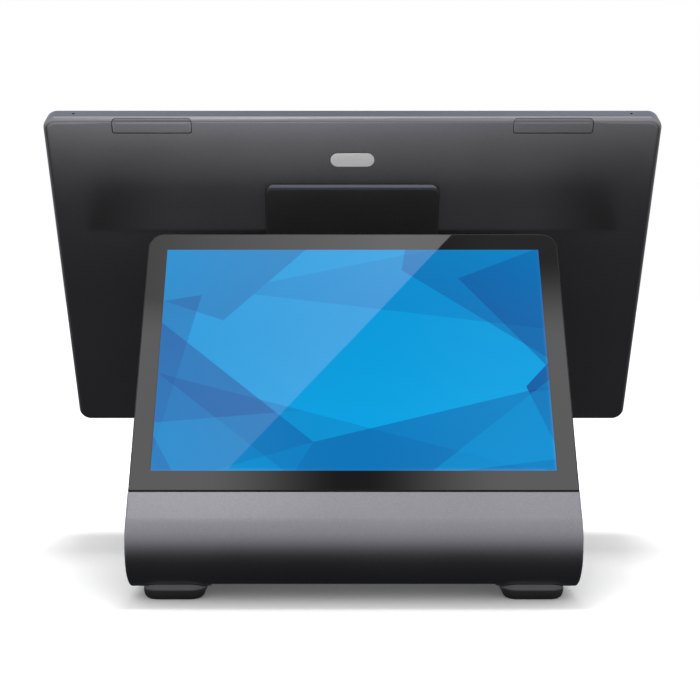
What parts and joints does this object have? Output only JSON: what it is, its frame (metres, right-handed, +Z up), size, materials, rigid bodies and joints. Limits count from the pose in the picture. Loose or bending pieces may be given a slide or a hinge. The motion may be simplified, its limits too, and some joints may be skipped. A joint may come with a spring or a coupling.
{
  "type": "pos touchscreen terminal",
  "caption": "Point-of-sale terminal: a tilting operator touchscreen on a bent slab stand whose sloping front holds a smaller customer screen.",
  "frame": {"origin": "centre of the overall footprint, on the counter that the feet stand on", "axes": "+X across the terminal, to the right as the customer sees it; +Y from the customer towards the operator; +Z up"},
  "size_m": [0.38, 0.2361, 0.275],
  "materials": {
    "anodised_aluminium": "bead-blasted and clear anodised, satin",
    "painted_metal_cover": "dark grey metallic paint, fine texture",
    "black_plastic": "fine spark-eroded texture",
    "cover_glass": "gloss, printed black on the inside round the lit area",
    "screen_module": "panel stack in a thin steel bezel",
    "circuit_board": "solder mask",
    "black_casting": "die cast, black powder coat",
    "steel": "zinc plated",
    "rubber": "matt",
    "bright_metal": "bright nickel",
    "bronze": "plain bearing bronze",
    "cable_sheath": "smooth PVC"
  },
  "bodies": {
    "stand": {"stand_shell": "anodised_aluminium", "stand_inner_cover": "black_plastic", "ballast_plate": "steel", "neck_screw_1": "steel", "neck_screw_2": "steel", "neck_screw_3": "steel", "neck_screw_4": "steel", "case_screw_1": "steel", "case_screw_2": "steel", "foot_front_left": "rubber", "foot_front_right": "rubber", "foot_rear_left": "rubber", "foot_rear_right": "rubber", "customer_glass": "cover_glass", "customer_lcd": "screen_module", "customer_driver_board": "circuit_board", "io_panel": "black_plastic", "io_board": "circuit_board", "dc_power_jack": "black_plastic", "ethernet_jack": "black_plastic", "cash_drawer_jack": "black_plastic", "usb_port_left": "bright_metal", "usb_port_right": "bright_metal", "usb_c_port": "bright_metal", "neck_arm": "black_casting", "hinge_bush_left": "bronze", "hinge_bush_right": "bronze", "hinge_washer_left": "steel", "hinge_washer_right": "steel", "stand_harness": "cable_sheath"},
    "display": {"mount_plate": "black_casting", "hinge_leaf_left": "steel", "hinge_leaf_right": "steel", "hinge_shaft_left": "steel", "hinge_shaft_right": "steel", "display_harness": "cable_sheath", "mount_screw_1": "steel", "mount_screw_2": "steel", "mount_screw_3": "steel", "mount_screw_4": "steel", "leaf_screw_left_lower": "steel", "leaf_screw_left_upper": "steel", "leaf_screw_right_lower": "steel", "leaf_screw_right_upper": "steel", "display_rear_cover": "painted_metal_cover", "display_glass": "cover_glass", "display_lcd": "screen_module", "display_chassis": "steel", "display_mainboard": "circuit_board", "port_connector_left": "black_plastic", "display_speaker_left": "black_plastic", "port_connector_right": "black_plastic", "display_speaker_right": "black_plastic", "power_switch": "steel", "blank_badge": "bright_metal"},
    "port_cover_left": {"port_cover_left": "painted_metal_cover"},
    "port_cover_right": {"port_cover_right": "painted_metal_cover"},
    "power_button": {"power_button": "black_plastic"},
    "neck_cover": {"neck_cover": "black_plastic"}
  },
  "joints": [
    {"name": "display_tilt", "type": "hinge", "parent": "stand", "child": "display", "pos_m": [0, 0.02461, 0.1551], "axis": [1, 0, 0], "range_deg": [-20, 40]},
    {"name": "port_cover_left_off", "type": "slide", "parent": "display", "child": "port_cover_left", "axis": [0, -0.866, -0.5], "range_m": [0, 0.012]},
    {"name": "port_cover_right_off", "type": "slide", "parent": "display", "child": "port_cover_right", "axis": [0, -0.866, -0.5], "range_m": [0, 0.012]},
    {"name": "power_button_press", "type": "slide", "parent": "display", "child": "power_button", "axis": [0, -0.5, 0.866], "range_m": [0, 0.0006], "stiffness_N_per_m": 400, "springref_m": -0.0015},
    {"name": "neck_cover_off", "type": "slide", "parent": "stand", "child": "neck_cover", "axis": [0, 1, 0], "range_m": [0, 0.01]}
  ]
}
